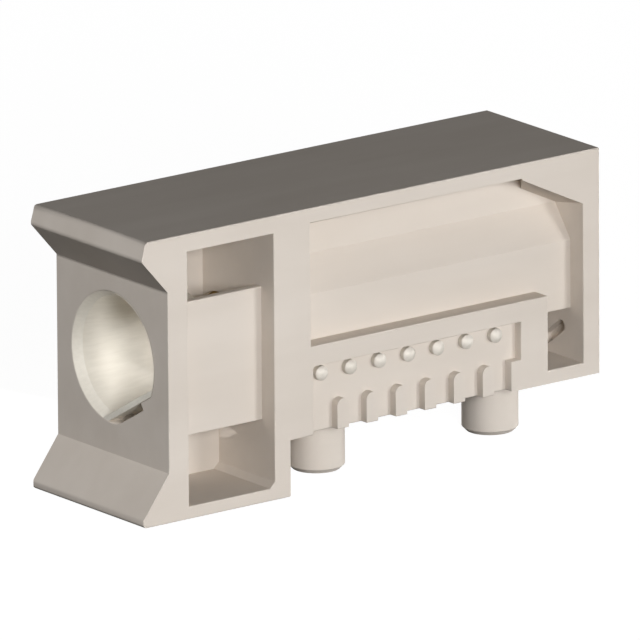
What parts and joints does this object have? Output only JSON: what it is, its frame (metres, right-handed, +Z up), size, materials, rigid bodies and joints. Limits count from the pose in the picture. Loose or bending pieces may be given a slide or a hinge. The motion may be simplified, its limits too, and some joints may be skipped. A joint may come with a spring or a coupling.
{
  "type": "eurocard connector",
  "caption": "Right-angle eurocard connector module: moulded block with lead-in lips, keyed round mouth, open chamber, side recess, contact row and board pegs.",
  "frame": {"origin": "middle of the overall box in plan, at the level of the feet of the skirt and the board pegs", "axes": "+X along the body from the mating mouth to the rear face, +Y from the side with the recesses to the plain side, +Z up from the board"},
  "size_m": [0.0314, 0.01, 0.016],
  "materials": {
    "housing": "light beige-grey glass-filled thermoplastic, fine matt mould texture",
    "keyed_sleeve": "drawn sleeve, warm matt tin plating",
    "pin_socket": "turned copper alloy, fine turning marks",
    "spring_cage": "rolled spring strip, thin gold plating",
    "bus_strip": "stamped strip, matt tin plating",
    "contact_stud": "headed stud, satin tin plating"
  },
  "bodies": {
    "root": {"housing": "housing", "keyed_sleeve": "keyed_sleeve", "pin_socket": "pin_socket", "spring_cage": "spring_cage", "bus_strip": "bus_strip", "contact_stud_1": "contact_stud", "contact_stud_2": "contact_stud", "contact_stud_3": "contact_stud", "contact_stud_4": "contact_stud", "contact_stud_5": "contact_stud", "contact_stud_6": "contact_stud", "contact_stud_7": "contact_stud"}
  },
  "joints": []
}
